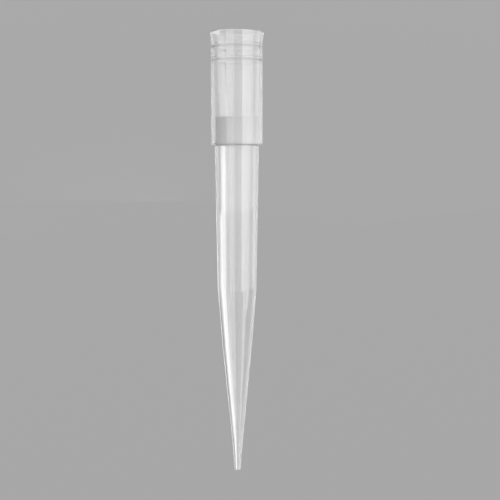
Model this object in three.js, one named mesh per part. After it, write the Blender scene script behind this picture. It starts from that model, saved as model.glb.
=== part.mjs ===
// A filtered 1000 microlitre pipette tip: one moulded polypropylene body, and a porous filter plug that is
// pressed into its collar.
//
// Millimetres, +Z up. The tip stands on the rim of its collar with the point up, and the origin is the
// centre of the rim. Heights are measured from the rim towards the point, and every radius from the axis.

import * as THREE from 'three';

// Facets round the axis and the turn that one step of a rounded edge may make. Both solids share them, so
// the plug's facets lie parallel to those of the bore around it.
const FACETS = 64;
const ARC_STEP = THREE.MathUtils.degToRad(26);

// Outside of the collar, which flares into a lip at the rim and ends in a square step.
const LIP_RADIUS = 4.74;
const LIP_LENGTH = 1.5;
const LIP_BLEND = 4;
const RIM_ROUND = 0.08;
const COLLAR_RADIUS = 4.525;
const COLLAR_LENGTH = 19.4;
const STEP_ROUND = 0.06;
const STEP_FILLET = 0.08;

// Outside of the body below the step: a gently tapered barrel, a cone in two stages, and the nozzle.
const BARREL_START_RADIUS = 3.89;
const BARREL_END_RADIUS = 3.46;
const BARREL_LENGTH = 25.3;
const BARREL_BLEND = 9;
const UPPER_CONE_END_RADIUS = 2.71;
const UPPER_CONE_LENGTH = 9.8;
const LOWER_CONE_END_RADIUS = 0.805;
const LOWER_CONE_LENGTH = 19.7;
const NOZZLE_END_RADIUS = 0.55;
const NOZZLE_LENGTH = 3.8;
const NOZZLE_ROUND = 0.09;

// Wall thickness along the body, measured square to the axis.
const SEALING_WALL = 0.42;
const SOCKET_END_WALL = 0.7;
const BARREL_START_WALL = 0.46;
const BARREL_END_WALL = 0.34;
const UPPER_CONE_END_WALL = 0.31;
const LOWER_CONE_END_WALL = 0.27;
const NOZZLE_END_WALL = 0.19;

// Inside of the collar: the lead-in at the mouth, two sealing rings that grip the pipette's nose cone, the
// taper that stops it, with a few fine rings, and the rounded seat that the filter plug is pushed against.
// A sealing ring rises steeply on the side that faces the mouth, stays level, and falls more gently.
const LEAD_IN_WIDTH = 0.24;
const LEAD_IN_LENGTH = 1.5;
const RING_HEIGHTS = [1.95, 4.27];
const RING_DEPTH = 0.09;
const RING_RISE = 0.12;
const RING_LEVEL = 0.3;
const RING_FALL = 0.35;
const RING_ROUND = 0.06;
const TAPER_HEIGHT = 6;
const FINE_RING_HEIGHT = 9.1;
const FINE_RING_SPACING = 0.55;
const FINE_RING_COUNT = 3;
const FINE_RING_WIDTH = 0.24;
const FINE_RING_DEPTH = 0.015;
const SEAT_DEPTH = 0.26;
const SEAT_ROUND = 0.42;

// The filter plug, and the space left round it.
const PLUG_LENGTH = 4.86;
const PLUG_EDGE_ROUND = 0.15;
const PLUG_CLEARANCE = 0.08;

// Heights where the outside changes direction.
const barrelEnd = COLLAR_LENGTH + BARREL_LENGTH;
const upperConeEnd = barrelEnd + UPPER_CONE_LENGTH;
const lowerConeEnd = upperConeEnd + LOWER_CONE_LENGTH;
const tipEnd = lowerConeEnd + NOZZLE_LENGTH;

// Radii of the bore.
const sealingBore = COLLAR_RADIUS - SEALING_WALL;
const mouthBore = sealingBore + LEAD_IN_WIDTH;
const socketEndBore = COLLAR_RADIUS - SOCKET_END_WALL;
const barrelStartBore = BARREL_START_RADIUS - BARREL_START_WALL;
const barrelEndBore = BARREL_END_RADIUS - BARREL_END_WALL;
const upperConeEndBore = UPPER_CONE_END_RADIUS - UPPER_CONE_END_WALL;
const lowerConeEndBore = LOWER_CONE_END_RADIUS - LOWER_CONE_END_WALL;
const nozzleEndBore = NOZZLE_END_RADIUS - NOZZLE_END_WALL;

// The socket is the tapered stretch of bore between the sealing bore and the seat.
const socketEnd = COLLAR_LENGTH - SEAT_DEPTH;
const socketTaper = (sealingBore - socketEndBore) / (socketEnd - TAPER_HEIGHT);

// The seat is an arc that leaves the socket's wall at socketEnd and turns inward to the barrel's bore. The
// plug's nose is a smaller arc round the same centre.
const seatCentre = new THREE.Vector2(socketEndBore - SEAT_ROUND, socketEnd);
const seatTurn = Math.acos((barrelStartBore - seatCentre.x) / SEAT_ROUND);

// One corner of an outline, with the radius that its edge is rounded to.
function corner(radius, height, round = 0) {
  return { at: new THREE.Vector2(radius, height), round };
}

// The points of an arc round a centre, from one angle to another, as corners of an outline.
function arcCorners(centre, radius, fromAngle, toAngle) {
  const steps = Math.ceil(Math.abs(toAngle - fromAngle) / ARC_STEP);
  return Array.from({ length: steps + 1 }, (_, i) => {
    const angle = THREE.MathUtils.lerp(fromAngle, toAngle, i / steps);
    return corner(centre.x + radius * Math.cos(angle), centre.y + radius * Math.sin(angle));
  });
}

// The tangent arc that takes the edge off a corner between two neighbours. It uses up at most half of
// either side.
function roundedCorner({ at, round }, before, after) {
  const towardsBefore = before.clone().sub(at);
  const towardsAfter = after.clone().sub(at);
  const halfAngle = Math.acos(towardsBefore.dot(towardsAfter)
    / (towardsBefore.length() * towardsAfter.length())) / 2;
  const reach = Math.min(round / Math.tan(halfAngle), towardsBefore.length() / 2, towardsAfter.length() / 2);
  const start = towardsBefore.clone().setLength(reach).add(at);
  const centreDistance = reach / Math.cos(halfAngle);
  const centre = towardsBefore.normalize().add(towardsAfter.normalize()).setLength(centreDistance).add(at);
  const turn = Math.PI - 2 * halfAngle;
  const direction = Math.sign(before.clone().sub(at).cross(after.clone().sub(at)));
  const steps = Math.ceil(turn / ARC_STEP);
  return Array.from({ length: steps + 1 }, (_, i) =>
    start.clone().rotateAround(centre, -direction * turn * i / steps));
}

// The points of an outline: straight lines between the corners, and an arc at each rounded one.
function outline(corners) {
  return corners.flatMap((current, i) => {
    if (current.round === 0) {
      return [current.at];
    }
    const before = corners[(i + corners.length - 1) % corners.length].at;
    const after = corners[(i + 1) % corners.length].at;
    return roundedCorner(current, before, after);
  });
}

// Turns an outline of radii and heights about the Z axis.
function revolve(points) {
  const geometry = new THREE.LatheGeometry(points, FACETS);
  geometry.rotateX(Math.PI / 2);
  return geometry;
}

// The bore's radius at a height in the socket.
function socketBore(height) {
  return sealingBore - socketTaper * (height - TAPER_HEIGHT);
}

// A sealing ring on the wall of the sealing bore, from its gentle side to its steep one.
function sealingRing(height) {
  const crestBore = sealingBore - RING_DEPTH;
  const crestStart = height + RING_RISE;
  const crestEnd = crestStart + RING_LEVEL;
  return [
    corner(sealingBore, crestEnd + RING_FALL),
    corner(crestBore, crestEnd, RING_ROUND),
    corner(crestBore, crestStart, RING_ROUND),
    corner(sealingBore, height),
  ];
}

// The fine rings on the wall of the socket, from the one nearest the point to the one nearest the rim.
function fineRings() {
  return Array.from({ length: FINE_RING_COUNT }, (_, i) => {
    const crest = FINE_RING_HEIGHT + FINE_RING_SPACING * (FINE_RING_COUNT - 1 - i);
    const end = crest + FINE_RING_WIDTH / 2;
    const start = crest - FINE_RING_WIDTH / 2;
    return [
      corner(socketBore(end), end),
      corner(socketBore(crest) - FINE_RING_DEPTH, crest),
      corner(socketBore(start), start),
    ];
  }).flat();
}

// The moulded body, as one closed outline: up the outside from the rim to the nozzle, and back down the
// bore to the rim.
function tipBody() {
  const outside = [
    corner(LIP_RADIUS, 0, RIM_ROUND),
    corner(COLLAR_RADIUS, LIP_LENGTH, LIP_BLEND),
    corner(COLLAR_RADIUS, COLLAR_LENGTH, STEP_ROUND),
    corner(BARREL_START_RADIUS, COLLAR_LENGTH, STEP_FILLET),
    corner(BARREL_END_RADIUS, barrelEnd, BARREL_BLEND),
    corner(UPPER_CONE_END_RADIUS, upperConeEnd),
    corner(LOWER_CONE_END_RADIUS, lowerConeEnd),
    corner(NOZZLE_END_RADIUS, tipEnd, NOZZLE_ROUND),
  ];
  const bore = [
    corner(nozzleEndBore, tipEnd),
    corner(lowerConeEndBore, lowerConeEnd),
    corner(upperConeEndBore, upperConeEnd),
    corner(barrelEndBore, barrelEnd, BARREL_BLEND),
    ...arcCorners(seatCentre, SEAT_ROUND, seatTurn, 0),
    ...fineRings(),
    corner(sealingBore, TAPER_HEIGHT),
    ...RING_HEIGHTS.toReversed().flatMap(sealingRing),
    corner(sealingBore, LEAD_IN_LENGTH, LIP_BLEND),
    corner(mouthBore, 0),
  ];
  const points = outline([...outside, ...bore]);
  points.push(points[0]);
  const polypropylene = new THREE.MeshStandardMaterial({
    color: 0xe9ebec,
    roughness: 0.22,
    metalness: 0,
    transparent: true,
    opacity: 0.45,
  });
  const mesh = new THREE.Mesh(revolve(points), polypropylene);
  mesh.name = 'tip_body';
  return mesh;
}

// The porous filter plug. Its side follows the taper of the socket, and its nose the rounded seat.
function filterPlug() {
  const noseRadius = SEAT_ROUND - PLUG_CLEARANCE;
  const noseEnd = seatCentre.y + noseRadius;
  const mouthFace = noseEnd - PLUG_LENGTH;
  const mouthFaceRadius = socketBore(mouthFace) - PLUG_CLEARANCE;
  const points = outline([
    corner(0, mouthFace),
    corner(mouthFaceRadius, mouthFace, PLUG_EDGE_ROUND),
    ...arcCorners(seatCentre, noseRadius, 0, Math.PI / 2),
    corner(0, noseEnd),
  ]);
  const filterMedia = new THREE.MeshStandardMaterial({ color: 0xdcdddd, roughness: 0.95, metalness: 0 });
  const mesh = new THREE.Mesh(revolve(points), filterMedia);
  mesh.name = 'filter_plug';
  return mesh;
}

const pipetteTip = new THREE.Group();
pipetteTip.add(tipBody());
pipetteTip.add(filterPlug());

export default pipetteTip;
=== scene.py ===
"""The looks of a filtered 1000 microlitre pipette tip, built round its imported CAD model.

Metres, +Z up. The tip stands on the rim of its collar with the point up, and the origin is the centre of
the rim. The camera is turned upside down, so the tip's point is at the bottom of the picture.
"""

import math
from collections import defaultdict

import bmesh
import bpy
from mathutils import Matrix, Vector


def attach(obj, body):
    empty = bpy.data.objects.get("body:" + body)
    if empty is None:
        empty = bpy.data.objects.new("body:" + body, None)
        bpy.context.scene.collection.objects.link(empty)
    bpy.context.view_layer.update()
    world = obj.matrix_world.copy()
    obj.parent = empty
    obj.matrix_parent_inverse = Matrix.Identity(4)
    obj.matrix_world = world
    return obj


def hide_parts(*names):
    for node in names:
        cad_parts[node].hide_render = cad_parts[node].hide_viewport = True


MM = 0.001

# Round pieces: steps round the axis, and how a traced outline's corners are rounded. Each pass cuts every
# corner at a share of its shorter side. Only a corner that hardly turns is cut further than FINE_CUT. A
# side that is long for BRACE gets a point that far from each of its ends, and is shaded flat between them.
SEGMENTS = 256
ROUNDING_PASSES = 2
CUT_SHARE = 0.25
FINE_CUT = 0.05 * MM
LONG_CUT = 1.5 * MM
GENTLE_TURN = math.radians(6)
BRACE = 0.08 * MM
TRACE_TOLERANCE = 1e-7

# Camera: its place in front of the tip, and how it is turned from level and upright.
CAMERA_DISTANCE = 159.5 * MM
CAMERA_HEIGHT = 23.8 * MM
CAMERA_PITCH = math.radians(5.08)
CAMERA_YAW = math.radians(0.82)
CAMERA_ROLL = math.radians(179.946)
CAMERA_LENS = 64.8
SENSOR_WIDTH = 36

# Light from all round, as in a light tent.
TENT_LEVEL = 0.41

# Stage: a round floor that sweeps up into a backdrop all round, in one plain pale tone. Only the camera
# sees it. What shows in and through the tip is the tent, so the stage is given the tent's tone.
FLOOR_RADIUS = 120 * MM
SWEEP_RADIUS = 430 * MM
SWEEP_STEPS = 32
WALL_HEIGHT = 900 * MM
STAGE_TONE = TENT_LEVEL
STAGE_OWN_LIGHT = 0.88
STAGE_ROUGHNESS = 0.9
STAGE_SHINE = 0.1

# Softboxes that stand out from the tent. The azimuths of a softbox's two sides are in degrees round the
# tip, where 0 is towards the camera and 90 is the picture's right. Then come the heights of its bottom and
# its top, and its radiance. All stand at one distance.
SOFTBOX_DISTANCE = 300 * MM
SOFTBOXES = {
    "side_left": (-75, -48, -60 * MM, 120 * MM, 0.35),
    "front_left": (-48, -12, -60 * MM, 120 * MM, 1.85),
    "front_left_top": (-60, -12, 120 * MM, 350 * MM, 1.2),
    "front": (-12, 24, -60 * MM, 120 * MM, 0.8),
    "front_top": (0, 36, 120 * MM, 350 * MM, 0.3),
    "key": (24, 60, -60 * MM, 120 * MM, 3.2),
    "key_top": (36, 60, 120 * MM, 350 * MM, 2),
    "key_side": (60, 68, -60 * MM, 136 * MM, 2.7),
    "key_edge": (68, 76, -60 * MM, 129 * MM, 2.5),
    "right": (75, 120, -60 * MM, 100 * MM, 1.1),
    "back_right": (120, 168, -60 * MM, 350 * MM, 0.35),
    "back_low": (168, 240, -45 * MM, 45 * MM, 0.15),
    "rim_edge": (183.5, 189, -150 * MM, 350 * MM, 0.35),
    "rim": (185, 192, 10 * MM, 350 * MM, 0.75),
    "rim_top": (189, 200, 45 * MM, 350 * MM, 0.95),
    "back_left": (200, 255, -150 * MM, 100 * MM, 0.25),
    "left": (255, 285, 100 * MM, 350 * MM, 0.8),
}

# Moulded polypropylene: flow lines that run along the tip, and a faint cloudiness.
FLOW_LINE_WIDTH = 0.35 * MM
FLOW_LINE_LENGTH = 60 * MM
FLOW_LINE_DEPTH = 0.0005 * MM
CLOUD_SIZE = 5 * MM
PLASTIC_IOR = 1.49
PLASTIC_CLEARNESS = 0.85
PLASTIC_ROUGHNESS = (0.02, 0.045)
CLOUDY_PLASTIC = (0.92, 0.92, 0.92)
CLEAR_PLASTIC = (0.945, 0.945, 0.945)

# Sintered filter media: grains, and patches that are packed more or less tightly. The pores get painted
# shade.
GRAIN_SIZE = 0.16 * MM
GRAIN_DEPTH = 0.05 * MM
GRAIN_RELIEF = 0.6
PATCH_SIZE = 1.6 * MM
FILTER_ROUGHNESS = 0.95
TIGHT_GRAINS = (0.84, 0.845, 0.845)
LOOSE_GRAINS = (0.89, 0.895, 0.895)
PORE_SHADE = (0.74, 0.745, 0.745)

# The middle stretch of a noise value, which holds nearly all of it.
NOISE_LOW = 0.3
NOISE_HIGH = 0.7


def unit(vector):
    """The vector at length 1."""
    return vector.normalized()


def meridian(node):
    """A CAD solid's outline in the half plane of +X, in order, as vectors of radius and height."""
    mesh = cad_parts[node].data
    places = {
        v.index: (round(v.co.x, 7), round(v.co.z, 7))
        for v in mesh.vertices
        if abs(v.co.y) < TRACE_TOLERANCE and v.co.x > -TRACE_TOLERANCE
    }
    links = defaultdict(set)
    for edge in mesh.edges:
        ends = [places.get(index) for index in edge.vertices]
        if None not in ends and ends[0] != ends[1]:
            links[ends[0]].add(ends[1])
            links[ends[1]].add(ends[0])
    # An outline that reaches the axis starts there. Any other is a loop.
    start = min(links, key=lambda place: (len(links[place]), place))
    path = [start]
    while True:
        onward = sorted(links[path[-1]] - set(path[-2:]))
        if not onward or onward[0] == start:
            return [Vector(place) for place in path], len(links[start]) == 2
        path.append(onward[0])


def cut_corners(points, closed):
    """The outline with every corner replaced by two points, one on either side of it."""
    rounded = []
    for i, at in enumerate(points):
        if not closed and i in (0, len(points) - 1):
            rounded.append(at)
            continue
        before = points[i - 1] - at
        after = points[(i + 1) % len(points)] - at
        turn = math.pi - before.angle(after)
        limit = LONG_CUT if turn < GENTLE_TURN else FINE_CUT
        reach = min(CUT_SHARE * before.length, CUT_SHARE * after.length, limit)
        rounded += [at + unit(before) * reach, at + unit(after) * reach]
    return rounded


def brace_sides(points, closed):
    """The outline with a point near each end of every long side."""
    braced = []
    for i, at in enumerate(points):
        braced.append(at)
        if not closed and i == len(points) - 1:
            continue
        side = points[(i + 1) % len(points)] - at
        if side.length > 4 * BRACE:
            braced += [at + unit(side) * BRACE, at + side - unit(side) * BRACE]
    return braced


def revolve(name, points, closed):
    """A new object: the outline turned about the Z axis, shaded smooth."""
    bm = bmesh.new()
    rings = []
    for radius, height in points:
        if radius < TRACE_TOLERANCE:
            rings.append([bm.verts.new((0, 0, height))] * SEGMENTS)
            continue
        turns = [math.tau * i / SEGMENTS for i in range(SEGMENTS)]
        rings.append([
            bm.verts.new((radius * math.cos(turn), radius * math.sin(turn), height))
            for turn in turns
        ])
    following = rings[1:] + rings[:1] if closed else rings[1:]
    for ring, after in zip(rings, following):
        for i in range(SEGMENTS):
            j = (i + 1) % SEGMENTS
            corners = dict.fromkeys((ring[i], ring[j], after[j], after[i]))
            bm.faces.new(corners)
    bmesh.ops.recalc_face_normals(bm, faces=bm.faces)
    mesh = bpy.data.meshes.new(name)
    bm.to_mesh(mesh)
    bm.free()
    mesh.shade_smooth()
    piece = bpy.data.objects.new(name, mesh)
    bpy.context.scene.collection.objects.link(piece)
    return piece


def round_piece(name, node):
    """The piece that stands for a CAD node: the same outline, with rounded corners and no facets."""
    points, closed = meridian(node)
    for _ in range(ROUNDING_PASSES):
        points = cut_corners(points, closed)
    piece = revolve(name, brace_sides(points, closed), closed)
    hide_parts(node)
    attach(piece, "root")
    return piece


def new_material(name):
    """A material with its Principled BSDF, as (material, node tree, shader)."""
    material = bpy.data.materials.new(name)
    material.use_nodes = True
    tree = material.node_tree
    return material, tree, tree.nodes["Principled BSDF"]


def scaled_position(tree, size_across, size_along):
    """The place on the object as a socket, in units of a size across the axis and a size along it."""
    place = tree.nodes.new("ShaderNodeTexCoord")
    scale = tree.nodes.new("ShaderNodeMapping")
    scale.inputs["Scale"].default_value = (1 / size_across, 1 / size_across, 1 / size_along)
    tree.links.new(place.outputs["Object"], scale.inputs["Vector"])
    return scale.outputs["Vector"]


def noise(tree, position, detail):
    """Soft noise as a socket, from 0 to 1."""
    texture = tree.nodes.new("ShaderNodeTexNoise")
    texture.inputs["Scale"].default_value = 1
    texture.inputs["Detail"].default_value = detail
    tree.links.new(position, texture.inputs["Vector"])
    return texture.outputs["Fac"]


def in_range(tree, value, low, high):
    """The value as a socket, with its middle stretch spread over the range from low to high."""
    stretch = tree.nodes.new("ShaderNodeMapRange")
    stretch.inputs["From Min"].default_value = NOISE_LOW
    stretch.inputs["From Max"].default_value = NOISE_HIGH
    stretch.inputs["To Min"].default_value = low
    stretch.inputs["To Max"].default_value = high
    tree.links.new(value, stretch.inputs["Value"])
    return stretch.outputs["Result"]


def between(tree, value, low, high):
    """A colour socket that goes from one colour to another as the value goes from 0 to 1."""
    mix = tree.nodes.new("ShaderNodeMix")
    mix.data_type = "RGBA"
    mix.inputs["A"].default_value = (*low, 1)
    mix.inputs["B"].default_value = (*high, 1)
    tree.links.new(value, mix.inputs["Factor"])
    return mix.outputs["Result"]


def relief(tree, shader, height, depth, strength):
    """Bumps on the shader's surface, as deep as given where the height socket goes from 0 to 1."""
    bump = tree.nodes.new("ShaderNodeBump")
    bump.inputs["Strength"].default_value = strength
    bump.inputs["Distance"].default_value = depth
    tree.links.new(height, bump.inputs["Height"])
    tree.links.new(bump.outputs["Normal"], shader.inputs["Normal"])


def polypropylene():
    """Natural polypropylene: clear enough to see through, slightly milky, with faint flow lines."""
    material, tree, shader = new_material("polypropylene")
    flow_lines = noise(tree, scaled_position(tree, FLOW_LINE_WIDTH, FLOW_LINE_LENGTH), 2)
    clouds = noise(tree, scaled_position(tree, CLOUD_SIZE, CLOUD_SIZE), 3)
    shader.inputs["IOR"].default_value = PLASTIC_IOR
    shader.inputs["Transmission Weight"].default_value = PLASTIC_CLEARNESS
    colour = between(tree, in_range(tree, clouds, 0, 1), CLOUDY_PLASTIC, CLEAR_PLASTIC)
    tree.links.new(colour, shader.inputs["Base Color"])
    tree.links.new(in_range(tree, flow_lines, *PLASTIC_ROUGHNESS), shader.inputs["Roughness"])
    relief(tree, shader, flow_lines, FLOW_LINE_DEPTH, 1)
    return material


def filter_media():
    """Sintered porous polyethylene: fused grains, with the pores between them darkened by painted shade.
    """
    material, tree, shader = new_material("filter_media")
    grains = tree.nodes.new("ShaderNodeTexVoronoi")
    grains.inputs["Scale"].default_value = 1
    tree.links.new(scaled_position(tree, GRAIN_SIZE, GRAIN_SIZE), grains.inputs["Vector"])
    pores = in_range(tree, grains.outputs["Distance"], 0, 1)
    patches = noise(tree, scaled_position(tree, PATCH_SIZE, PATCH_SIZE), 2)
    pale = between(tree, in_range(tree, patches, 0, 1), TIGHT_GRAINS, LOOSE_GRAINS)
    # Painted shade: the colour darkens into the pores, where the surface sinks between the grains.
    grain_colour_and_shade = tree.nodes.new("ShaderNodeMix")
    grain_colour_and_shade.data_type = "RGBA"
    grain_colour_and_shade.inputs["B"].default_value = (*PORE_SHADE, 1)
    tree.links.new(pores, grain_colour_and_shade.inputs["Factor"])
    tree.links.new(pale, grain_colour_and_shade.inputs["A"])
    tree.links.new(grain_colour_and_shade.outputs["Result"], shader.inputs["Base Color"])
    shader.inputs["Roughness"].default_value = FILTER_ROUGHNESS
    height = tree.nodes.new("ShaderNodeMath")
    height.operation = "SUBTRACT"
    height.inputs[0].default_value = 1
    tree.links.new(pores, height.inputs[1])
    relief(tree, shader, height.outputs[0], GRAIN_DEPTH, GRAIN_RELIEF)
    return material


def stage_paint():
    """Matt pale paint. What the camera sees of it is mostly its own tone, and partly the light on it."""
    material, tree, shader = new_material("stage_paint")
    tone = (STAGE_TONE, STAGE_TONE, STAGE_TONE, 1)
    shader.inputs["Roughness"].default_value = STAGE_ROUGHNESS
    shader.inputs["Specular IOR Level"].default_value = STAGE_SHINE
    shader.inputs["Base Color"].default_value = tone
    own = tree.nodes.new("ShaderNodeEmission")
    own.inputs["Color"].default_value = tone
    path = tree.nodes.new("ShaderNodeLightPath")
    share = tree.nodes.new("ShaderNodeMath")
    share.operation = "MULTIPLY"
    share.inputs[1].default_value = STAGE_OWN_LIGHT
    tree.links.new(path.outputs["Is Camera Ray"], share.inputs[0])
    mix = tree.nodes.new("ShaderNodeMixShader")
    tree.links.new(share.outputs[0], mix.inputs["Fac"])
    tree.links.new(shader.outputs[0], mix.inputs[1])
    tree.links.new(own.outputs[0], mix.inputs[2])
    tree.links.new(mix.outputs[0], tree.nodes["Material Output"].inputs["Surface"])
    return material


def add_stage():
    """The floor and backdrop in one sheet. Only the camera sees it, and it keeps no light from the tip."""
    profile = [Vector((0, 0))]
    for i in range(SWEEP_STEPS + 1):
        turn = math.pi / 2 * i / SWEEP_STEPS
        profile.append(Vector((
            FLOOR_RADIUS + SWEEP_RADIUS * math.sin(turn),
            SWEEP_RADIUS * (1 - math.cos(turn)),
        )))
    profile.append(Vector((FLOOR_RADIUS + SWEEP_RADIUS, WALL_HEIGHT)))
    stage = revolve("stage", profile, False)
    stage.data.materials.append(stage_paint())
    stage.visible_diffuse = False
    stage.visible_glossy = False
    stage.visible_transmission = False
    stage.visible_shadow = False


def add_softbox(name, start, end, bottom, top, radiance):
    """A rectangular area lamp that faces the tip's axis."""
    middle = math.radians((start + end) / 2)
    width = 2 * SOFTBOX_DISTANCE * math.tan(math.radians((end - start) / 2))
    lamp = bpy.data.lights.new(name, "AREA")
    lamp.shape = "RECTANGLE"
    lamp.size = width
    lamp.size_y = top - bottom
    lamp.energy = radiance * math.pi * width * (top - bottom)
    softbox = bpy.data.objects.new(name, lamp)
    outward = Vector((-math.sin(middle), -math.cos(middle), 0))
    softbox.location = outward * SOFTBOX_DISTANCE + Vector((0, 0, (bottom + top) / 2))
    softbox.rotation_euler = outward.to_track_quat("Z", "Y").to_euler()
    softbox.visible_camera = False
    bpy.context.scene.collection.objects.link(softbox)


def add_world():
    """Plain light from all round."""
    world = bpy.data.worlds.new("tent")
    world.use_nodes = True
    background = world.node_tree.nodes["Background"]
    background.inputs["Color"].default_value = (1, 1, 1, 1)
    background.inputs["Strength"].default_value = TENT_LEVEL
    bpy.context.scene.world = world


def add_camera():
    """The camera, upside down in front of the tip."""
    data = bpy.data.cameras.new("camera")
    data.sensor_width = SENSOR_WIDTH
    data.lens = CAMERA_LENS
    camera = bpy.data.objects.new("camera", data)
    camera.matrix_world = (
        Matrix.Translation((0, -CAMERA_DISTANCE, CAMERA_HEIGHT))
        @ Matrix.Rotation(CAMERA_YAW, 4, "Z")
        @ Matrix.Rotation(math.pi / 2 + CAMERA_PITCH, 4, "X")
        @ Matrix.Rotation(CAMERA_ROLL, 4, "Z")
    )
    bpy.context.scene.collection.objects.link(camera)
    bpy.context.scene.camera = camera


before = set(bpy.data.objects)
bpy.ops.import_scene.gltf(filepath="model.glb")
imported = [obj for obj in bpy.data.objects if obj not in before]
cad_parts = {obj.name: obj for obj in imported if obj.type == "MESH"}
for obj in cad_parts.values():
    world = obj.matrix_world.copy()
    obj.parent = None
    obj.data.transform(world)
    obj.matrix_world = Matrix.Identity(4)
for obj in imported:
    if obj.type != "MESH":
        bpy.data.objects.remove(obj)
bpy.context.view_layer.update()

body = round_piece("moulded_body", "tip_body")
body.data.materials.append(polypropylene())
plug = round_piece("porous_filter", "filter_plug")
plug.data.materials.append(filter_media())

add_stage()
add_world()
for softbox_name, softbox in SOFTBOXES.items():
    add_softbox(softbox_name, *softbox)
add_camera()
bpy.context.scene.view_settings.view_transform = "Standard"
